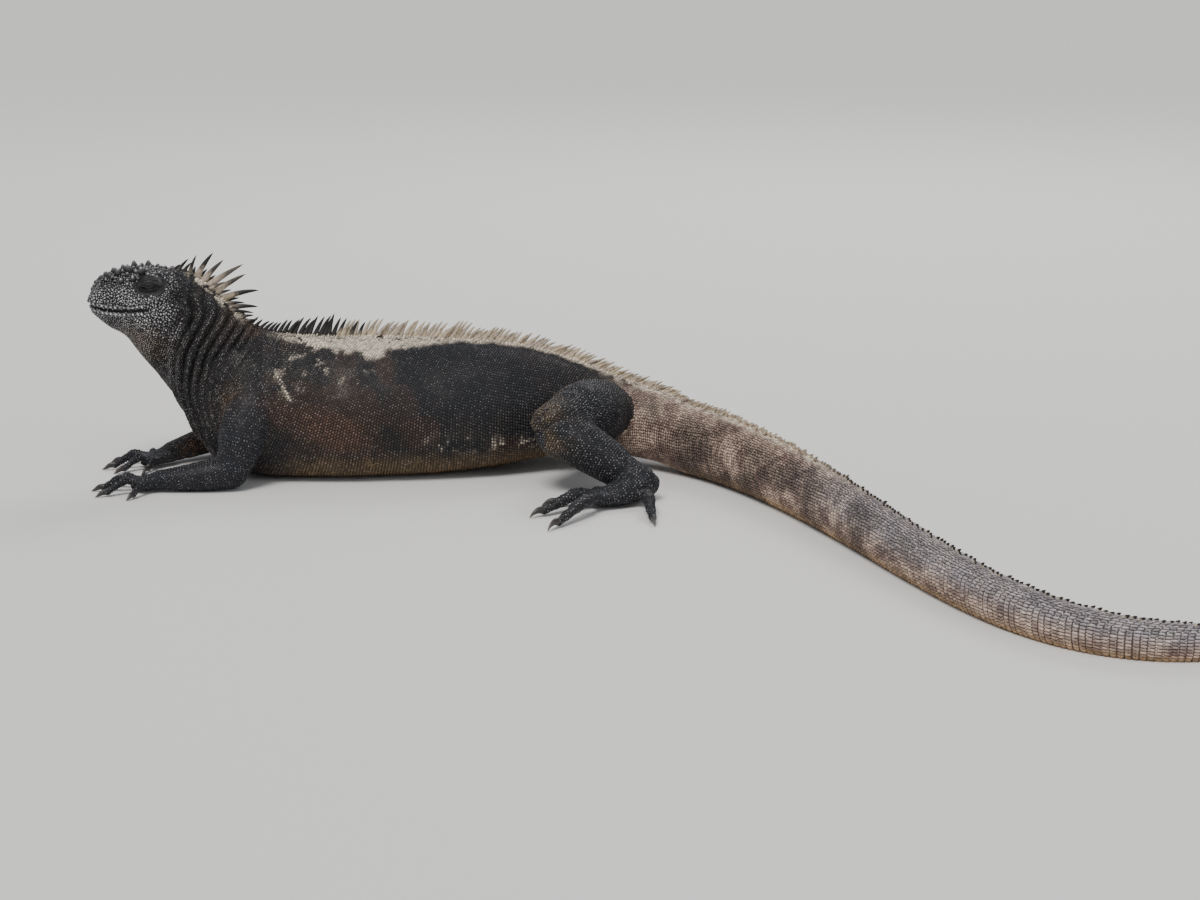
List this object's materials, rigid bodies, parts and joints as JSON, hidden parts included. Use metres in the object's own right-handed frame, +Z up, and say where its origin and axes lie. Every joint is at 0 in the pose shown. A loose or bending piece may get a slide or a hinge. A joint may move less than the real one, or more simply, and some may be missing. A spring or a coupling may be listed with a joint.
{
  "type": "marine iguana model",
  "caption": "Life-size still model of a marine iguana lying on its belly, head raised, spiny crest from nape to tail, long flattened tail swept to the left.",
  "frame": {"origin": "centre of the flat under the belly, on the floor", "axes": "-X to the head, +X to the tail, +Y to the animal's right, +Z up"},
  "size_m": [0.7666, 0.5755, 0.1436],
  "materials": {
    "skin": "dry scaly skin, charcoal",
    "limb_skin": "dry scaly skin, blue-black",
    "tail_skin": "dry keeled scales, grey-tan",
    "claw": "horn, half gloss",
    "eye": "wet dark eye"
  },
  "bodies": {
    "root": {"head": "skin", "neck": "skin", "torso": "skin", "tail_1": "tail_skin", "tail_2": "tail_skin", "tail_3": "tail_skin", "tail_4": "tail_skin", "tail_5": "tail_skin", "tail_6": "tail_skin", "tail_7": "tail_skin", "eye_left": "eye", "eye_right": "eye", "upper_arm_left": "limb_skin", "forearm_left": "limb_skin", "hand_left": "limb_skin", "hand_claw_left_1": "claw", "hand_claw_left_2": "claw", "hand_claw_left_3": "claw", "hand_claw_left_4": "claw", "hand_claw_left_5": "claw", "thigh_left": "limb_skin", "shank_left": "limb_skin", "foot_left": "limb_skin", "foot_claw_left_1": "claw", "foot_claw_left_2": "claw", "foot_claw_left_3": "claw", "foot_claw_left_4": "claw", "foot_claw_left_5": "claw", "upper_arm_right": "limb_skin", "forearm_right": "limb_skin", "hand_right": "limb_skin", "hand_claw_right_1": "claw", "hand_claw_right_2": "claw", "hand_claw_right_3": "claw", "hand_claw_right_4": "claw", "hand_claw_right_5": "claw", "thigh_right": "limb_skin", "shank_right": "limb_skin", "foot_right": "limb_skin", "foot_claw_right_1": "claw", "foot_claw_right_2": "claw", "foot_claw_right_3": "claw", "foot_claw_right_4": "claw", "foot_claw_right_5": "claw"}
  },
  "joints": []
}
